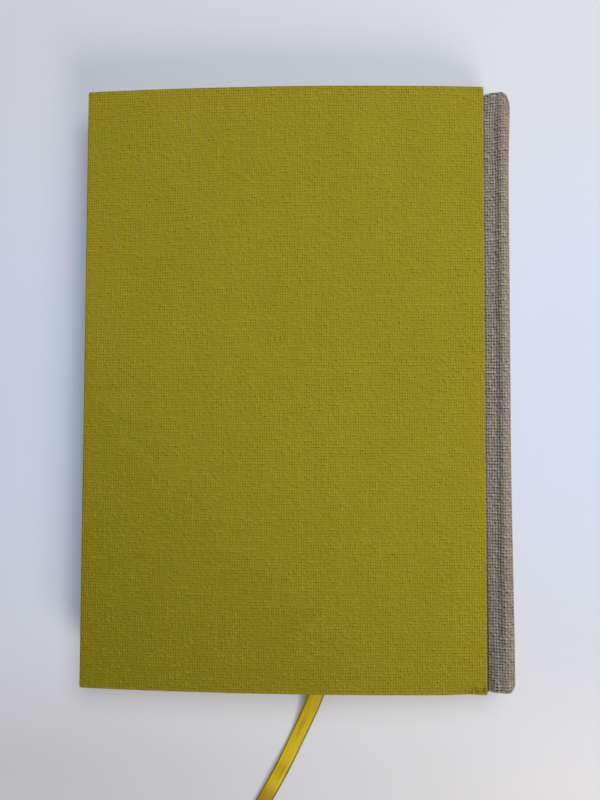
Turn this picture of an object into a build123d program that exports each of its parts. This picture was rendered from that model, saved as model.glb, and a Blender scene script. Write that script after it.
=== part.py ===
from build123d import *
import os
from math import atan, atan2, cos, hypot, radians, sin, sqrt, tan

# A sewn A5 notebook. Two cloth-covered boards stand proud of a narrow linen spine,
# and a ribbon marker hangs out at the tail. The book lies on its front cover.
# X runs from the fore-edge to the spine, Y from the tail to the head, Z up.
# Sizes are in millimetres.

# Leaves, sewn in signatures
leaf_width = 148.0
leaf_height = 210.0
signature_count = 12
signature_thick = 0.85
fold_round_share = 0.42

# Endpapers
paper_thick = 0.2

# Covers
square = 3.0
end_square = 3.5
board_thick = 2.2
cover_cloth_thick = 0.3
turn_in = 15.0
corner_radius = 1.0
rim_radius = 0.5

# The back cover is bowed, and thinner sewing lets it sink towards the fore-edge.
back_bow = 2.3
fore_edge_drop = 1.4
leaves_bow_share = 0.62

# Spine. Its strip of linen ends level with the covers at the tail and short of them at the head.
strip_head_short = 1.4
spine_cloth_thick = 0.4
spine_board_thick = 2.2
flange_width = 12.0
joint_gap = 7.2
joint_flat = 3.7
bead_drop = 1.25
bead_radius = 2.2
spine_turn_in = 14.0
head_corner_across = 4.0
head_corner_along = 5.0
tail_corner_across = 2.6
tail_corner_along = 3.0

# Spine lining and headbands
lining_thick = 0.3
hollow_gap = 0.35
band_roll_radius = 0.8
band_skirt = 12.0
band_rib_count = 6
band_rib_depth = 0.12

# Clearances between pieces that move apart
cover_clearance = 0.3
joint_slit = 0.3

# Ribbon marker
ribbon_width = 5.5
ribbon_thick = 0.3
ribbon_clearance = 0.1

# Levels below a cover's outer face
covered_thick = board_thick + 2 * cover_cloth_thick
flange_level = covered_thick + spine_cloth_thick
pasted_level = flange_level + paper_thick
leaves_level = pasted_level + cover_clearance + paper_thick

# Places across the book
spine_stack = lining_thick + hollow_gap + 2 * spine_cloth_thick + spine_board_thick
book_width = square + leaf_width + spine_stack
spine_face = book_width / 2
fore_edge = -book_width / 2
folds = spine_face - spine_stack
leaves_edge = folds - leaf_width
spine_board_inner = spine_face - spine_cloth_thick - spine_board_thick
cover_edge = spine_board_inner - joint_gap

# Places along and up the book
cover_height = leaf_height + 2 * end_square
strip_height = cover_height - strip_head_short
strip_middle = -strip_head_short / 2
book_thick = 2 * leaves_level + signature_count * signature_thick
ribbon_level = book_thick / 2

# The ribbon's route, from where it is glued behind the folds near the head, down
# between two signatures, out at the tail and along the table.
ribbon_route = [
    (folds, 99.0, ribbon_level),
    (65.2, 69.0, ribbon_level),
    (51.4, 21.0, ribbon_level),
    (33.6, -36.0, ribbon_level),
    (21.2, -73.5, ribbon_level),
    (14.0, -94.5, ribbon_level),
    (10.2, -105.3, ribbon_level),
    (5.1, -119.5, 3.9),
    (0.2, -132.0, 0.8),
    (-5.9, -144.8, 1.7),
    (-13.3, -158.3, 0.5),
    (-21.0, -171.0, 0.9),
    (-27.5, -181.0, 0.3),
]
arc_run_share = 0.45
least_turn_degrees = 0.01


def along_spine(edges, length):
    """A solid with this section, centred on the book and as long as stated along Y."""
    return extrude(Plane.XZ * make_face(edges), amount=length / 2, both=True)


class FlatFace:
    """A level face of the book, seen along the spine, with depths counted inwards."""

    def __init__(self, spine_end, level, outward):
        self.spine_end = spine_end
        self.level = level
        self.outward = outward

    def point(self, along, depth):
        """The point this far from the spine end and this deep."""
        return (self.spine_end - along, self.level - self.outward * depth)

    def height(self, x, depth):
        return self.level - self.outward * depth

    def length_to(self, x):
        return self.spine_end - x

    def edge(self, start, end, depth):
        return Line(self.point(start, depth), self.point(end, depth))


class BowedFace:
    """A face that is arched outwards between its spine end and its fore end."""

    def __init__(self, spine_end, fore_end, rise):
        across = spine_end[0] - fore_end[0]
        up = spine_end[1] - fore_end[1]
        chord = hypot(across, up)
        self.radius = chord**2 / (8 * rise) + rise / 2
        drop = self.radius - rise
        self.centre = (
            (spine_end[0] + fore_end[0]) / 2 + drop * up / chord,
            (spine_end[1] + fore_end[1]) / 2 - drop * across / chord,
        )
        self.start = atan2(spine_end[1] - self.centre[1], spine_end[0] - self.centre[0])

    def point(self, along, depth):
        angle = self.start + along / self.radius
        reach = self.radius - depth
        return (self.centre[0] + reach * cos(angle), self.centre[1] + reach * sin(angle))

    def height(self, x, depth):
        return self.centre[1] + sqrt((self.radius - depth) ** 2 - (x - self.centre[0]) ** 2)

    def length_to(self, x):
        angle = atan2(self.height(x, 0) - self.centre[1], x - self.centre[0])
        return (angle - self.start) * self.radius

    def edge(self, start, end, depth):
        middle = (start + end) / 2
        return ThreePointArc(self.point(start, depth), self.point(middle, depth), self.point(end, depth))


# The outer faces of the two covers
front_face = FlatFace(cover_edge, 0, -1)
back_face = BowedFace((cover_edge, book_thick), (fore_edge, book_thick - fore_edge_drop), back_bow)


def plate(face, start, end, shallow, deep, height):
    """A plate that follows a face, from start to end along it and between two depths."""
    edges = [
        face.edge(start, end, shallow),
        Line(face.point(end, shallow), face.point(end, deep)),
        face.edge(end, start, deep),
        Line(face.point(start, deep), face.point(start, shallow)),
    ]
    return along_spine(edges, height)


def board_blank(face, inset):
    """A board's outline with rounded corners, this much smaller all round than the covered board."""
    length = face.length_to(fore_edge)
    blank = plate(
        face, inset, length - inset, inset, covered_thick - inset, cover_height - 2 * inset
    )
    corners = blank.edges().sort_by(SortBy.LENGTH)[:4]
    return fillet(corners, corner_radius - inset)


def board(face):
    return board_blank(face, cover_cloth_thick)


def cover_cloth(face):
    """Book cloth wrapped round the board and turned in on its inner side."""
    length = face.length_to(fore_edge)
    wrapped = board_blank(face, 0)
    rims = wrapped.faces().sort_by(SortBy.AREA)[-2:]
    wrapped = fillet(rims[0].edges() + rims[1].edges(), rim_radius)
    window = plate(
        face,
        turn_in,
        length - turn_in,
        covered_thick - 2 * cover_cloth_thick,
        covered_thick + cover_cloth_thick,
        cover_height - 2 * turn_in,
    )
    return wrapped - board(face) - window


def on_strip(piece):
    """A piece of the linen spine, moved from the middle of the covers to the strip's middle."""
    return Pos(0, strip_middle, 0) * piece


def cloth_flange(face):
    """The edge of the spine cloth that is glued inside a cover."""
    flange = plate(
        face, joint_slit / 2, flange_width, covered_thick, flange_level, strip_height - 2 * rim_radius
    )
    return on_strip(flange)


def pastedown(face):
    """The pasted half of an endpaper, which steps over the flange and the turned-in cloth."""
    length = face.length_to(fore_edge)
    start = joint_slit / 2
    bare = covered_thick - cover_cloth_thick
    over_cloth = plate(
        face, start, length - square, covered_thick, covered_thick + paper_thick, leaf_height
    )
    over_flange = plate(
        face, start, flange_width + paper_thick, covered_thick, pasted_level, leaf_height
    )
    pan = plate(
        face,
        turn_in,
        length - turn_in,
        bare,
        covered_thick + paper_thick,
        cover_height - 2 * turn_in,
    )
    pan_hollow = plate(
        face,
        turn_in + paper_thick,
        length - turn_in - paper_thick,
        bare + paper_thick,
        pasted_level,
        cover_height - 2 * turn_in - 2 * paper_thick,
    )
    flange = plate(face, 0, flange_width, covered_thick, flange_level, cover_height)
    return over_cloth + over_flange + pan - pan_hollow - flange


# The leaves' upper face is arched less than the cover over it, and level under the joint.
leaves_top = back_face.height(cover_edge, leaves_level)
leaves_face = BowedFace(
    (cover_edge, leaves_top),
    (leaves_edge, back_face.height(leaves_edge, leaves_level)),
    back_bow * leaves_bow_share,
)
leaves_bottom_face = FlatFace(cover_edge, leaves_level, -1)


def fold_edges():
    """The rounded backs of the signatures, from the front of the book to the back."""
    pitch = (leaves_top - leaves_level) / signature_count
    valley = folds - fold_round_share * signature_thick
    edges = []
    for number in range(signature_count):
        low = leaves_level + number * pitch
        high = low + pitch
        edges.append(ThreePointArc((valley, low), (folds, (low + high) / 2), (valley, high)))
    return edges, valley


def page_block():
    """All the leaves, with rounded signature folds and the narrow way that the ribbon takes."""
    backs, valley = fold_edges()
    length = leaves_face.length_to(leaves_edge)
    fore_low = (leaves_edge, leaves_level)
    edges = backs + [
        Line((valley, leaves_top), leaves_face.point(0, 0)),
        leaves_face.edge(0, length, 0),
        Line(leaves_face.point(length, 0), fore_low),
        Line(fore_low, (valley, leaves_level)),
    ]
    return along_spine(edges, leaf_height) - ribbon_band(ribbon_clearance)


def flyleaf(face, outward, joint_level):
    """The free half of an endpaper on the leaves, folded back under the joint cloth."""
    length = face.length_to(leaves_edge)
    base = face.height(cover_edge, 0)
    low = base + outward * paper_thick
    high = joint_level - outward * paper_thick
    middle = (base + joint_level) / 2
    outer_reach = abs(joint_level - base) / 2
    inner_reach = outer_reach - paper_thick
    turn = folds - outer_reach
    joint_end = cover_edge + joint_slit / 2
    edges = [
        face.edge(length, 0, 0),
        Line(face.point(0, 0), (turn, base)),
        ThreePointArc((turn, base), (turn + outer_reach, middle), (turn, joint_level)),
        Line((turn, joint_level), (joint_end, joint_level)),
        Line((joint_end, joint_level), (joint_end, high)),
        Line((joint_end, high), (turn, high)),
        ThreePointArc((turn, high), (turn + inner_reach, middle), (turn, low)),
        Line((turn, low), face.point(0, -paper_thick)),
        face.edge(0, length, -paper_thick),
        Line(face.point(length, -paper_thick), face.point(length, 0)),
    ]
    return along_spine(edges, leaf_height)


def joint_and_bead(inset, level, outward):
    """One joint and the ridge beside it, this far inside the spine cloth's outer face."""
    slope_start = cover_edge + joint_flat
    fall = covered_thick - bead_drop
    angle = 2 * atan(fall / (spine_board_inner - slope_start))

    def place(x, depth):
        return (x, level - outward * depth)

    start = place(cover_edge + joint_slit / 2, covered_thick + inset)
    valley = place(slope_start, covered_thick + inset)
    slope = place(
        (slope_start + spine_board_inner) / 2 + inset * sin(angle),
        (covered_thick + bead_drop) / 2 + inset * cos(angle),
    )
    crest = place(spine_board_inner, bead_drop + inset)
    shoulder = place(spine_face - bead_radius, bead_drop + inset)
    side = place(spine_face - inset, bead_drop + bead_radius)
    edges = [
        Line(start, valley),
        TangentArc(valley, slope, tangent=(1, 0)),
        TangentArc(crest, slope, tangent=(-1, 0)),
        Line(crest, shoulder),
        TangentArc(shoulder, side, tangent=(1, 0)),
    ]
    return start, crest, shoulder, side, edges


def spine_plan(inset):
    """The spine's outline from above, with its worn round corners, as a tall block."""
    end = strip_height / 2 - inset
    side = spine_face - inset
    head_across = head_corner_across - inset
    head_along = head_corner_along - inset
    tail_across = tail_corner_across - inset
    tail_along = tail_corner_along - inset
    near = cover_edge
    edges = [
        Line((near, -end), (side - tail_across, -end)),
        EllipticalCenterArc(
            (side - tail_across, -end + tail_along), tail_across, tail_along, 270, arc_size=90
        ),
        Line((side, -end + tail_along), (side, end - head_along)),
        EllipticalCenterArc(
            (side - head_across, end - head_along), head_across, head_along, 0, arc_size=90
        ),
        Line((side - head_across, end), (near, end)),
        Line((near, end), (near, -end)),
    ]
    return extrude(make_face(edges), amount=book_thick)


def spine_board_section():
    _, back_crest, back_shoulder, back_side, back = joint_and_bead(spine_cloth_thick, book_thick, 1)
    _, front_crest, front_shoulder, front_side, front = joint_and_bead(spine_cloth_thick, 0, -1)
    return back[3:] + front[3:] + [Line(back_side, front_side), Line(front_crest, back_crest)]


def spine_board():
    """The stiff strip inside the spine."""
    blank = along_spine(spine_board_section(), strip_height - 2 * spine_cloth_thick)
    return on_strip(blank & spine_plan(spine_cloth_thick))


def at_both_ends(piece):
    return piece + mirror(piece, about=Plane.XZ)


def spine_cloth():
    """Linen from joint to joint round the spine board, folded over the board's ends and turned in."""
    edges = []
    rims = []
    for inset in (0, spine_cloth_thick):
        back_start, _, _, back_side, back = joint_and_bead(inset, book_thick, 1)
        front_start, _, _, front_side, front = joint_and_bead(inset, 0, -1)
        edges += back + front + [Line(back_side, front_side)]
        rims.append((back_start, front_start))
    edges += [Line(rims[0][0], rims[1][0]), Line(rims[0][1], rims[1][1])]
    sheet = along_spine(edges, strip_height)

    end = strip_height / 2
    cap = extrude(Plane.XZ.offset(-end) * make_face(spine_board_section()), amount=spine_cloth_thick)
    board_end = bead_drop + spine_cloth_thick
    tuck = Box(
        spine_cloth_thick,
        spine_turn_in,
        book_thick - 2 * board_end,
        align=(Align.MAX, Align.MAX, Align.MIN),
    )
    tuck = Pos(spine_board_inner, end, board_end) * tuck
    return on_strip((sheet + at_both_ends(cap + tuck)) & spine_plan(0))


def spine_lining():
    """Paper and mull glued over the signature folds between the headbands."""
    lining = Box(
        lining_thick,
        leaf_height - 2 * band_skirt,
        leaves_top - leaves_level,
        align=(Align.MIN, Align.CENTER, Align.MIN),
    )
    return Pos(folds, 0, leaves_level) * lining


def headband():
    """A wound roll on a glued skirt, at the head end of the folds."""
    length = leaves_top - leaves_level
    roll_x = folds + lining_thick - band_roll_radius
    roll_y = leaf_height / 2 + band_roll_radius
    core_radius = band_roll_radius - band_rib_depth
    roll = Pos(roll_x, roll_y, leaves_level) * Cylinder(
        core_radius, length, align=(Align.CENTER, Align.CENTER, Align.MIN)
    )
    pitch = length / band_rib_count
    for number in range(band_rib_count):
        rib = Cylinder(band_roll_radius, pitch / 2, align=(Align.CENTER, Align.CENTER, Align.MIN))
        roll += Pos(roll_x, roll_y, leaves_level + number * pitch + pitch / 4) * rib
    skirt = Box(
        lining_thick, band_skirt + band_roll_radius, length, align=(Align.MIN, Align.MAX, Align.MIN)
    )
    return roll + Pos(folds, roll_y, leaves_level) * skirt


def not_in_line(points):
    """The points without those that lie straight between their neighbours."""
    kept = [points[0]]
    for number in range(1, len(points) - 1):
        before = Vector(*kept[-1])
        here = Vector(*points[number])
        after = Vector(*points[number + 1])
        if (here - before).get_angle(after - here) > least_turn_degrees:
            kept.append(points[number])
    return kept + [points[-1]]


def rounded_path(points):
    """The route with each corner rounded as widely as its two runs allow."""
    points = not_in_line(points)
    radii = []
    for before, here, after in zip(points, points[1:], points[2:]):
        run_in = Vector(*here) - Vector(*before)
        run_out = Vector(*after) - Vector(*here)
        half_turn = radians(run_in.get_angle(run_out)) / 2
        radii.append(arc_run_share * min(run_in.length, run_out.length) / tan(half_turn))
    print("ribbon arcs from", round(min(radii)), "to", round(max(radii)), "mm")
    return FilletPolyline(*points, radius=radii)


def swept_strip(path, normal, width, breadth):
    """A strip that follows a flat path: width across it and breadth along the normal."""
    forward = path % 0
    across = normal.cross(forward)
    start = Plane(origin=path @ 0, x_dir=across, z_dir=forward)
    return sweep(start * Rectangle(width, breadth), path)


def ribbon_band(margin):
    """The ribbon's flat band, this much larger all round, found where its two views meet."""
    from_above = rounded_path([(x, y, 0) for x, y, z in ribbon_route])
    from_side = rounded_path([(0, y, z) for x, y, z in ribbon_route])
    wide = swept_strip(from_above, Vector(0, 0, 1), ribbon_width + 2 * margin, 2 * book_thick)
    thin = swept_strip(from_side, Vector(1, 0, 0), ribbon_thick + 2 * margin, 2 * book_width)
    return wide & thin


def ribbon_marker():
    """A flat satin ribbon, cut off where it is glued to the backs of the folds."""
    inner_side = Pos(folds, 0, 0) * Box(
        2 * book_width, 2 * cover_height, 2 * book_thick, align=(Align.MAX, Align.CENTER, Align.CENTER)
    )
    return ribbon_band(0) & inner_side


def report_ribbon(ribbon):
    length = ribbon.volume / (ribbon_width * ribbon_thick)
    runs = [(Vector(*b) - Vector(*a)).length for a, b in zip(ribbon_route, ribbon_route[1:])]
    print("ribbon length", round(length, 1), "mm, runs add up to", round(sum(runs), 1), "mm")


os.makedirs("parts", exist_ok=True)

ribbon = ribbon_marker()
report_ribbon(ribbon)
head_band = headband()

nodes = {
    "page_block": page_block(),
    "back_flyleaf": flyleaf(leaves_face, 1, book_thick - flange_level),
    "front_flyleaf": flyleaf(leaves_bottom_face, -1, flange_level),
    "spine_lining": spine_lining(),
    "head_band": head_band,
    "tail_band": mirror(head_band, about=Plane.XZ),
    "spine_board": spine_board(),
    "spine_cloth": spine_cloth(),
    "ribbon_marker": ribbon,
    "back_board": board(back_face),
    "back_cover_cloth": cover_cloth(back_face),
    "back_cloth_flange": cloth_flange(back_face),
    "back_pastedown": pastedown(back_face),
    "front_board": board(front_face),
    "front_cover_cloth": cover_cloth(front_face),
    "front_cloth_flange": cloth_flange(front_face),
    "front_pastedown": pastedown(front_face),
}

for name, solid in nodes.items():
    export_step(solid, f"parts/{name}.step")
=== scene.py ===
from math import atan, atan2, copysign, cos, exp, hypot, pi, radians, sin, sqrt, tau

import bmesh
import bpy
from mathutils import Matrix, Vector, noise
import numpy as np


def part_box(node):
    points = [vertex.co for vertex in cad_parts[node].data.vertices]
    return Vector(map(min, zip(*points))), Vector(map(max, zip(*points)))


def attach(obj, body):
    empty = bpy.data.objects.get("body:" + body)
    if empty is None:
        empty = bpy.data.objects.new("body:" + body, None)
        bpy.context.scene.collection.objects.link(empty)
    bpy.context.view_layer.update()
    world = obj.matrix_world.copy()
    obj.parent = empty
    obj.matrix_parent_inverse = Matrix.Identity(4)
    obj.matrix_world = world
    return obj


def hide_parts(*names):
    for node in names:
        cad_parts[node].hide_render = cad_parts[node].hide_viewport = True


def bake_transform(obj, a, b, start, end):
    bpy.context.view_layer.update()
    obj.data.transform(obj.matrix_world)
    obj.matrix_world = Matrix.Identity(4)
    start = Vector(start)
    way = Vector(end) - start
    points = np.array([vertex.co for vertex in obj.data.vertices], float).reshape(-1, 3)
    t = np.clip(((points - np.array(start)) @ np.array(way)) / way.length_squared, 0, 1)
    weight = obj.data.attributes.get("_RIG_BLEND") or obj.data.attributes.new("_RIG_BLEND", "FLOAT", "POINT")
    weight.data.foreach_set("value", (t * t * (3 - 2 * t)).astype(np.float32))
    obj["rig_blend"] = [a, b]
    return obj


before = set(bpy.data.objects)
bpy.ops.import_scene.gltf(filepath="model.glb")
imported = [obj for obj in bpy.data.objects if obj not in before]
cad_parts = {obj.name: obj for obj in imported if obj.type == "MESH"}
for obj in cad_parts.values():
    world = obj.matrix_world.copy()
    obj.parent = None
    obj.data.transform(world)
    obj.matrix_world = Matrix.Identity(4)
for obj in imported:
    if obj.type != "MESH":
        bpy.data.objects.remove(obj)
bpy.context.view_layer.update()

# The camera looks almost straight down on the back cover, from arm's length, as in
# the photograph. Its focal length is given for the picture's long side.

picture_height = 800
focal_pixels = 601
camera_place = (0.00625, -0.01272, 0.23291)
camera_turn = (radians(1.971), radians(1.287), radians(0.200))

camera = bpy.data.objects.new("camera", bpy.data.cameras.new("camera"))
bpy.context.scene.collection.objects.link(camera)
camera.location = camera_place
camera.rotation_euler = camera_turn
camera.data.lens = camera.data.sensor_width * focal_pixels / picture_height
bpy.context.scene.camera = camera

# Ribbon marker: a satin ribbon, woven with a firm edge down each side. It is glued to
# the backs of the folds near the head, lies between two signatures, and comes out at the
# tail, where it falls to the table and lies there in low waves.

ribbon_width = 0.0055
ribbon_thick = 0.00026
ribbon_columns = 10
route_steps = 16
ribbon_cup = 0.00018
ribbon_roll = radians(3)
ribbon_roll_pitch = 0.066
tail_of_leaves = -0.105
ribbon_loosens = 0.006
sharp_from = radians(40)
ribbon_route = [
    (0.073675, 0.0990, 0.0090),
    (0.0652, 0.0690, 0.0090),
    (0.0514, 0.0210, 0.0090),
    (0.0336, -0.0360, 0.0090),
    (0.0212, -0.0735, 0.0090),
    (0.0140, -0.0945, 0.0090),
    (0.0102, -0.1053, 0.0090),
    (0.0070, -0.1180, 0.0025),
    (0.0013, -0.1310, 0.0002),
    (-0.0054, -0.1448, 0.0007),
    (-0.0130, -0.1583, 0.0003),
    (-0.0207, -0.1710, 0.0006),
    (-0.0273, -0.1810, 0.0003),
]


def smooth_route(points):
    """Points along the smooth curve that the route's points control."""
    curve = bpy.data.curves.new("ribbon_line", "CURVE")
    curve.dimensions = "3D"
    curve.resolution_u = route_steps
    spline = curve.splines.new("NURBS")
    spline.points.add(len(points) - 1)
    for point, place in zip(spline.points, points):
        point.co = (*place, 1)
    spline.order_u = 3
    spline.use_endpoint_u = True
    holder = bpy.data.objects.new("ribbon_line", curve)
    mesh = bpy.data.meshes.new_from_object(holder)
    line = [vertex.co.copy() for vertex in mesh.vertices]
    bpy.data.objects.remove(holder)
    bpy.data.curves.remove(curve)
    bpy.data.meshes.remove(mesh)
    return line


def as_piece(name, bm, material):
    """Makes an object of a finished bmesh, smooth but for its sharp edges."""
    mesh = bpy.data.meshes.new(name)
    bm.to_mesh(mesh)
    bm.free()
    mesh.shade_smooth()
    mesh.set_sharp_from_angle(angle=sharp_from)
    mesh.materials.append(material)
    piece = bpy.data.objects.new(name, mesh)
    bpy.context.scene.collection.objects.link(piece)
    return piece


def give_thickness(piece, thickness, offset=0.0):
    """Turns a skin into a sheet: offset 0 is centred on the skin, -1 lies on its inner side."""
    solidify = piece.modifiers.new("thickness", "SOLIDIFY")
    solidify.thickness = thickness
    solidify.offset = offset
    shown = piece.evaluated_get(bpy.context.evaluated_depsgraph_get())
    sheet = bpy.data.meshes.new_from_object(shown)
    piece.modifiers.clear()
    piece.data = sheet
    sheet.set_sharp_from_angle(angle=sharp_from)


def lay_flat(bm, flat_place):
    """Notes where each face's corners were on the flat sheet, for the weave or the layers."""
    cut = bm.loops.layers.uv.new("cut")
    for face in bm.faces:
        for loop in face.loops:
            loop[cut].uv = flat_place(face, loop.vert)


def math_node(operation):
    """A method that gives a Math node's result, from the value itself and any others."""
    return lambda value, *others: value.finish.node(
        "ShaderNodeMath", {"operation": operation}, dict(enumerate((value, *others)))
    )


class Value:
    """A shader socket that Python's operators work on, through Math nodes."""

    def __init__(self, finish, socket):
        self.finish = finish
        self.socket = socket

    __add__ = __radd__ = math_node("ADD")
    __sub__ = math_node("SUBTRACT")
    __mul__ = __rmul__ = math_node("MULTIPLY")
    __truediv__ = math_node("DIVIDE")
    __pow__ = math_node("POWER")
    __abs__ = math_node("ABSOLUTE")
    floor = math_node("FLOOR")
    fraction = math_node("FRACT")
    cosine = math_node("COSINE")
    at_least = math_node("MAXIMUM")

    def __rsub__(self, other):
        return self.finish.node("ShaderNodeMath", {"operation": "SUBTRACT"}, {0: other, 1: self})

    def rise(self, low, high):
        """0 below low, 1 above high, and smooth between them."""
        settings = {"interpolation_type": "SMOOTHSTEP"}
        inputs = {"Value": self, "From Min": low, "From Max": high}
        return self.finish.node("ShaderNodeMapRange", settings, inputs)


def paint(red, green, blue):
    """A colour given from 0 to 255, on the shader's own scale."""
    shares = [level / 255 for level in (red, green, blue)]
    return (*[s / 12.92 if s < 0.04045 else ((s + 0.055) / 1.055) ** 2.4 for s in shares], 1.0)


class Finish:
    """One of the notebook's materials, on a Principled shader."""

    def __init__(self, name, **constants):
        self.material = bpy.data.materials.new(name)
        self.material.use_nodes = True
        self.tree = self.material.node_tree
        self.shader = self.tree.nodes["Principled BSDF"]
        for socket, value in constants.items():
            name = socket.replace("_", " ").title().replace("Ior", "IOR")
            self.shader.inputs[name].default_value = value

    def node(self, kind, settings, inputs, output=0):
        """Adds a node: its settings first, then the values and links of its sockets."""
        made = self.tree.nodes.new(kind)
        for setting, value in settings.items():
            setattr(made, setting, value)
        for socket, value in inputs.items():
            self.put(made.inputs[socket], value)
        return Value(self, made.outputs[output])

    def put(self, socket, value):
        if isinstance(value, Value):
            self.tree.links.new(value.socket, socket)
        else:
            socket.default_value = value

    def place(self):
        """Where a point is on the notebook, in metres."""
        return self.node("ShaderNodeTexCoord", {}, {}, "Object")

    def cut(self):
        """Where a point is across and along the flat sheet that the piece was cut from."""
        return self.parts(self.node("ShaderNodeUVMap", {"uv_map": "cut"}, {}))[:2]

    def parts(self, vector):
        """A vector's X, Y and Z."""
        split = self.node("ShaderNodeSeparateXYZ", {}, {0: vector})
        return [Value(self, output) for output in split.socket.node.outputs]

    def vector(self, x=0.0, y=0.0, z=0.0):
        return self.node("ShaderNodeCombineXYZ", {}, {0: x, 1: y, 2: z})

    def cloud(self, place, scale, detail=2.0, roughness=0.5):
        """Noise from 0 to 1, this many lumps to the unit, at a place or at its parts."""
        place = self.vector(*place) if isinstance(place, tuple) else place
        inputs = {"Vector": place, "Scale": scale, "Detail": detail, "Roughness": roughness}
        return self.node("ShaderNodeTexNoise", {}, inputs)

    def speckle(self, x, y):
        """A value from 0 to 1 that has nothing to do with its neighbours'."""
        settings = {"noise_dimensions": "2D"}
        return self.node("ShaderNodeTexWhiteNoise", settings, {"Vector": self.vector(x, y)})

    def mix(self, share, *colours):
        """Two colours mixed, all of the second where share is 1; plain ones are as for paint."""
        first, second = [paint(*c) if isinstance(c, tuple) else c for c in colours]
        return self.node("ShaderNodeMix", {"data_type": "RGBA"}, {0: share, 6: first, 7: second}, 2)

    def layered(self, colour, *layers):
        """A colour with others laid over it in turn, each as its share says."""
        for share, over in layers:
            colour = self.mix(share, colour, over)
        return colour

    def surface(self, colour, roughness, height, depth):
        """Feeds the shader, with height as relief this deep in metres, and gives the material."""
        relief = self.node("ShaderNodeBump", {}, {"Height": height, "Distance": depth})
        fed = {"Base Color": colour, "Roughness": roughness, "Normal": relief}
        for socket, value in fed.items():
            self.put(self.shader.inputs[socket], value)
        return self.material


def satin():
    finish = Finish("ribbon_satin", specular_ior_level=0.2)
    rib_pitch = 0.00052
    thread_pitch = 0.00022
    along, across = finish.cut()
    ribs = ((along + across * 0.35) * (tau / rib_pitch)).cosine() * 0.5 + 0.5
    threads = (across * (tau / thread_pitch)).cosine() * 0.5 + 0.5
    # Painted sheen: the satin is lighter in fine streaks and in broad waves along its length, where light
    # catches it.
    streaks_with_painted_sheen = finish.cloud((along * 60, across * 2600), 1.0, 3.0)
    painted_sheen_waves = finish.cloud((along * 90,), 1.0, 1.0)
    edge = (abs(across) / (ribbon_width / 2)).rise(0.78, 0.9)
    colour = finish.layered(
        (182, 150, 0),
        # Painted sheen, in broad waves and fine streaks.
        (painted_sheen_waves.rise(0.35, 0.65), (214, 188, 8)),
        (streaks_with_painted_sheen.rise(0.35, 0.75), (236, 213, 34)),
        # Painted shade: the ribbon darkens towards its loose end, where it catches less light.
        (along.rise(0.262, 0.272) * 0.85, (160, 116, 0)),
        # Painted shade along the ribs.
        (ribs * 0.6, (152, 121, 0)),
        (edge * 0.85, (92, 82, 0)),
    )
    height = ribs * 0.6 + threads * 0.25 + edge * 0.8
    return finish.surface(colour, 0.34 + edge * 0.25 + streaks_with_painted_sheen * 0.12, height, 0.00009)


def ribbon(line):
    """The ribbon laid along a line: flat between the leaves, a little cupped and rolled outside."""
    lengths = [0.0]
    for before, here in zip(line, line[1:]):
        lengths.append(lengths[-1] + (here - before).length)
    rows = len(line) - 1
    bm = bmesh.new()
    bmesh.ops.create_grid(bm, x_segments=rows, y_segments=ribbon_columns, size=1)

    def row_of(vertex):
        return round((vertex.co.x + 1) / 2 * rows)

    lay_flat(bm, lambda _, vertex: (lengths[row_of(vertex)], vertex.co.y * ribbon_width / 2))
    for vertex in bm.verts:
        row = row_of(vertex)
        share = vertex.co.y
        past = max(tail_of_leaves - line[row].y, 0.0)
        loose = min(past / ribbon_loosens, 1.0)
        forward = (line[min(row + 1, rows)] - line[max(row - 1, 0)]).normalized()
        level = forward.cross(Vector((0, 0, 1))).normalized()
        roll = ribbon_roll * loose * sin(past * tau / ribbon_roll_pitch)
        side = Matrix.Rotation(roll, 3, forward) @ level
        lift = side.cross(forward) * ribbon_cup * loose * (1 - share * share)
        vertex.co = line[row] - side * (share * ribbon_width / 2) + lift
        vertex.co.x = min(vertex.co.x, line[0].x)
    return as_piece("ribbon_marker_satin", bm, satin())


ribbon_line = smooth_route(ribbon_route)
marker = ribbon(ribbon_line)
give_thickness(marker, ribbon_thick)
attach(marker, "book_block")
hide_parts("ribbon_marker")

# Leaves: ninety-six leaves of cream paper in twelve sewn signatures. Each signature is
# eight leaves folded one in another, so its back is round, and the three other edges are
# trimmed. The two middle signatures part a little round the ribbon.

signature_count = 12
folded_sheets = 4
fold_round_share = 0.42
back_bow = 0.0023
fore_edge_drop = 0.0014
leaves_bow_share = 0.62
trim_play = 0.00007
parting_depth = ribbon_thick * 0.55
parting_reach = ribbon_width / sqrt(2.5)
plain_cells = (36, 1)
cells_by_ribbon = (74, 60)
cover_low, cover_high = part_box("front_cover_cloth")
spine_low, spine_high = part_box("spine_cloth")
block_low, block_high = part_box("page_block")
fore_edge = cover_low.x
cover_edge, cover_end, covered_thick = cover_high
book_thick = spine_low.z + spine_high.z
leaves_edge, _, leaves_level = block_low
folds, leaf_end, _ = block_high


class Arch:
    """A bowed face between its spine end and its fore end, seen along the spine."""

    def __init__(self, spine_end, fore_end, rise):
        chord = spine_end - fore_end
        self.radius = chord.length_squared / (8 * rise) + rise / 2
        inwards = Vector((chord.y, -chord.x)).normalized()
        self.centre = (spine_end + fore_end) / 2 + inwards * (self.radius - rise)
        self.start = self.angle(spine_end)
        self.length = (self.angle(fore_end) - self.start) * self.radius

    def angle(self, point):
        return atan2(point.y - self.centre.y, point.x - self.centre.x)

    def point(self, along, depth=0.0):
        """The point this far along from the spine end, and this deep."""
        angle = self.start + along / self.radius
        return self.centre + Vector((cos(angle), sin(angle))) * (self.radius - depth)

    def height(self, x, depth=0.0):
        return self.centre.y + sqrt((self.radius - depth) ** 2 - (x - self.centre.x) ** 2)

    def heading(self, along):
        """The way towards the fore end, as an angle from +X."""
        return self.start + along / self.radius + pi / 2


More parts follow.
